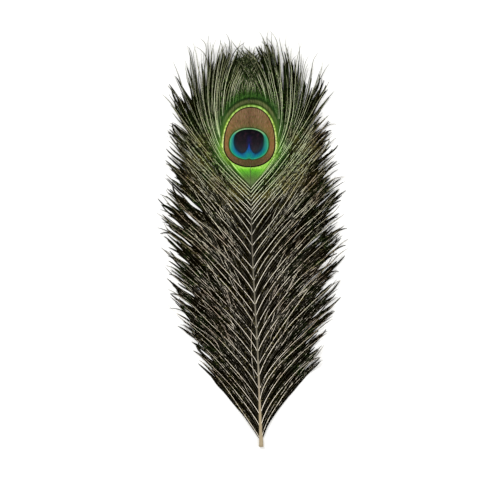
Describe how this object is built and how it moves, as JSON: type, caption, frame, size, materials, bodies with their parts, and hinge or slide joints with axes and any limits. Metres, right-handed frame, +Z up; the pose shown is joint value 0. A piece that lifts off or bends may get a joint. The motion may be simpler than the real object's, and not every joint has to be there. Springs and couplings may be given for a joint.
{
  "type": "peacock feather",
  "caption": "Peacock eye feather lying face up: cut quill, tapering shaft, loose barbs in an open V on both sides, and a close-knit oval eye near the tip.",
  "frame": {"origin": "on the flat underside of the quill, 12 mm up from its cut end, which is the mount rest", "axes": "+Y up the shaft towards the eye and the tip, +Z up out of the face of the feather, +X to the right when the eye is seen from above with the quill below it"},
  "size_m": [0.1386, 0.2884, 0.0056],
  "materials": {
    "vane": "loose dark olive barbs with pale cream ribs, green towards the eye, softly iridescent",
    "quill": "smooth tan horn at the cut end, cream and then grey brown further up",
    "eye": "silky iridescent barbs: bronze field, green rim, teal and blue ring round an indigo heart"
  },
  "bodies": {
    "root": {"feather": "vane"}
  },
  "joints": []
}
